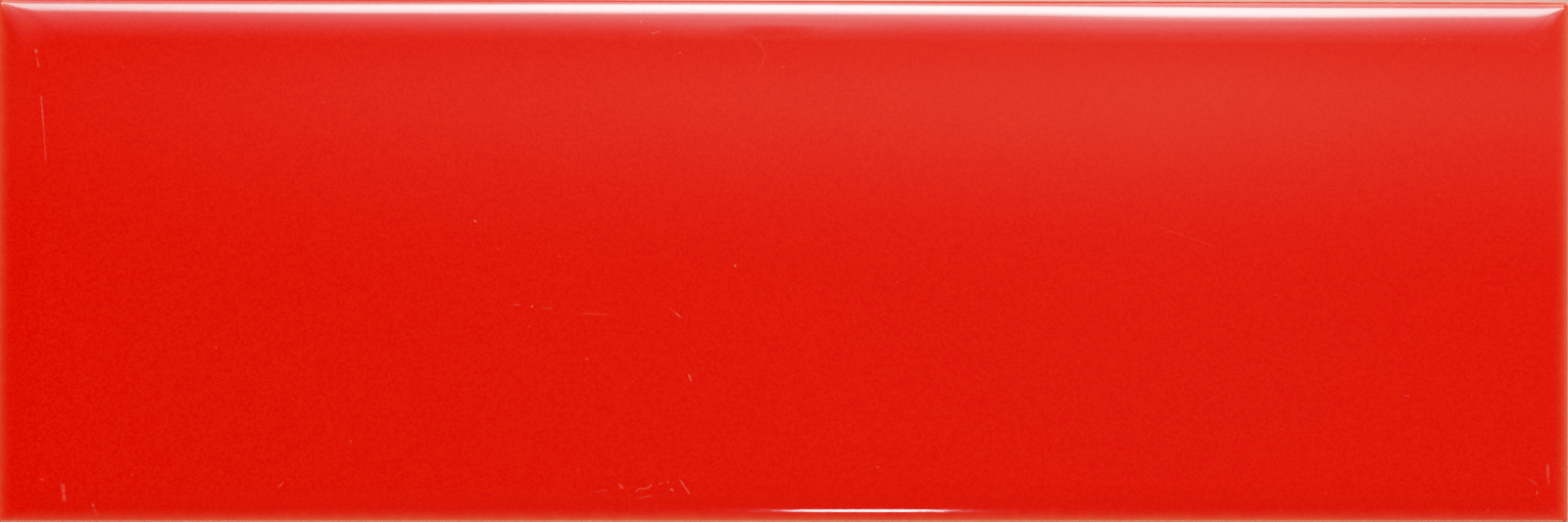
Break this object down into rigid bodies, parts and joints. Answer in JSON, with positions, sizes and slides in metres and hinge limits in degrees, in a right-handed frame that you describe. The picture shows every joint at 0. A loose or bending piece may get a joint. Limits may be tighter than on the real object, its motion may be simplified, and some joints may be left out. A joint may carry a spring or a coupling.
{
  "type": "ceramic wall tile",
  "caption": "Long rectangular glazed wall tile with a flat gloss face, pillowed edges that roll over at the arris, tapered sides and a keyed back for adhesive.",
  "frame": {"origin": "centre of the bedding face, on the tops of the key ribs that the tile lies on", "axes": "+X along the tile's length, +Y across its width, +Z out of the glazed face"},
  "size_m": [0.3, 0.1, 0.008],
  "materials": {
    "glazed_ceramic": "gloss"
  },
  "bodies": {
    "root": {"tile": "glazed_ceramic"}
  },
  "joints": []
}
